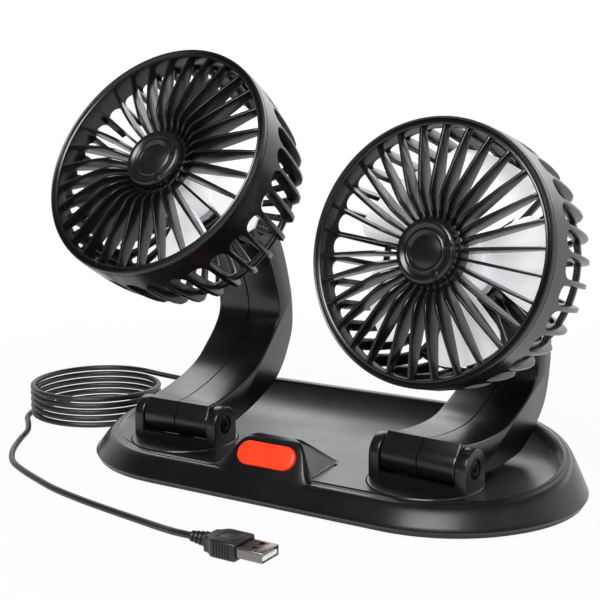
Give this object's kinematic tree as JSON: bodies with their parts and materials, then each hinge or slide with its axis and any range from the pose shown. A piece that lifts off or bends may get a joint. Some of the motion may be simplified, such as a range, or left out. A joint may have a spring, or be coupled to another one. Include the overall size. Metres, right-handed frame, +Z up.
{
  "type": "dual head car fan",
  "caption": "Dashboard fan: caged fan heads on curved folding arms, each on a turntable of one long oval base with an oval push button, and a coiled cord with a USB plug.",
  "frame": {"origin": "centre of the rubber pad's underside, on the table", "axes": "+Z up, +X along the base to the viewer's right, -Y towards the button side"},
  "size_m": [0.3225, 0.213, 0.1985],
  "materials": {
    "black_abs": "satin black moulded ABS",
    "black_rubber": "matt black rubber",
    "orange_abs": "glossy orange-red ABS",
    "grey_blade_plastic": "pale grey translucent plastic",
    "steel": "zinc plated steel",
    "nickel_plate": "nickel plated sheet",
    "green_board": "green circuit board",
    "cord_pvc": "black soft PVC",
    "white_insert": "white contact carrier"
  },
  "bodies": {
    "base": {"base_shell": "black_abs", "base_plate": "black_abs", "base_pad": "black_rubber", "base_screw_1": "steel", "base_screw_2": "steel", "base_screw_3": "steel", "base_screw_4": "steel", "button_switch": "black_abs", "circuit_board": "green_board", "cord_gland": "black_rubber", "cord_lead": "cord_pvc", "cord_coil": "cord_pvc", "cord_run": "cord_pvc", "plug_boot": "black_rubber", "plug_body": "cord_pvc", "plug_shell": "nickel_plate", "plug_insert": "white_insert"},
    "speed_button": {"speed_button": "orange_abs"},
    "left_turntable": {"left_swivel_bracket": "black_abs", "left_swivel_retainer": "black_abs", "left_hinge_pin": "steel"},
    "left_arm": {"left_arm_left_half": "black_abs", "left_arm_right_half": "black_abs", "left_tilt_pin": "steel"},
    "left_head": {"left_rear_cage": "black_abs", "left_front_grille": "black_abs", "left_hub_cap": "black_abs", "left_fan_motor": "steel"},
    "left_impeller": {"left_motor_shaft": "steel", "left_impeller": "grey_blade_plastic"},
    "right_turntable": {"right_swivel_bracket": "black_abs", "right_swivel_retainer": "black_abs", "right_hinge_pin": "steel"},
    "right_arm": {"right_arm_left_half": "black_abs", "right_arm_right_half": "black_abs", "right_tilt_pin": "steel"},
    "right_head": {"right_rear_cage": "black_abs", "right_front_grille": "black_abs", "right_hub_cap": "black_abs", "right_fan_motor": "steel"},
    "right_impeller": {"right_motor_shaft": "steel", "right_impeller": "grey_blade_plastic"}
  },
  "joints": [
    {"name": "left_swivel", "type": "hinge", "parent": "base", "child": "left_turntable", "pos_m": [-0.065, -0.02775, 0.0132], "axis": [0, 0, 1], "range_deg": [-45, 45]},
    {"name": "left_fold", "type": "hinge", "parent": "left_turntable", "child": "left_arm", "pos_m": [-0.065, -0.02775, 0.02288], "axis": [-1, 0, 0], "range_deg": [-23.8, 17.8]},
    {"name": "left_tilt", "type": "hinge", "parent": "left_arm", "child": "left_head", "pos_m": [-0.065, 0.01212, 0.11328], "axis": [-1, 0, 0], "range_deg": [-49, 42.5]},
    {"name": "left_spin", "type": "hinge", "parent": "left_head", "child": "left_impeller", "pos_m": [-0.065, -0.04822, 0.14954], "axis": [0, -0.8572, 0.515], "continuous": true},
    {"name": "right_swivel", "type": "hinge", "parent": "base", "child": "right_turntable", "pos_m": [0.065, -0.02775, 0.0132], "axis": [0, 0, 1], "range_deg": [-40, 50]},
    {"name": "right_fold", "type": "hinge", "parent": "right_turntable", "child": "right_arm", "pos_m": [0.065, -0.02775, 0.02288], "axis": [-0.9962, 0.0872, 0], "range_deg": [-41, 0.6]},
    {"name": "right_tilt", "type": "hinge", "parent": "right_arm", "child": "right_head", "pos_m": [0.07065, 0.03682, 0.09745], "axis": [-0.9962, 0.0872, 0], "range_deg": [-14, 77.5]},
    {"name": "right_spin", "type": "hinge", "parent": "right_head", "child": "right_impeller", "pos_m": [0.06468, -0.03137, 0.11388], "axis": [-0.0847, -0.9687, 0.2334], "continuous": true},
    {"name": "button_press", "type": "slide", "parent": "base", "child": "speed_button", "axis": [0, 0.8342, -0.5515], "range_m": [0, 0.0008], "stiffness_N_per_m": 1000, "springref_m": -0.0005}
  ]
}
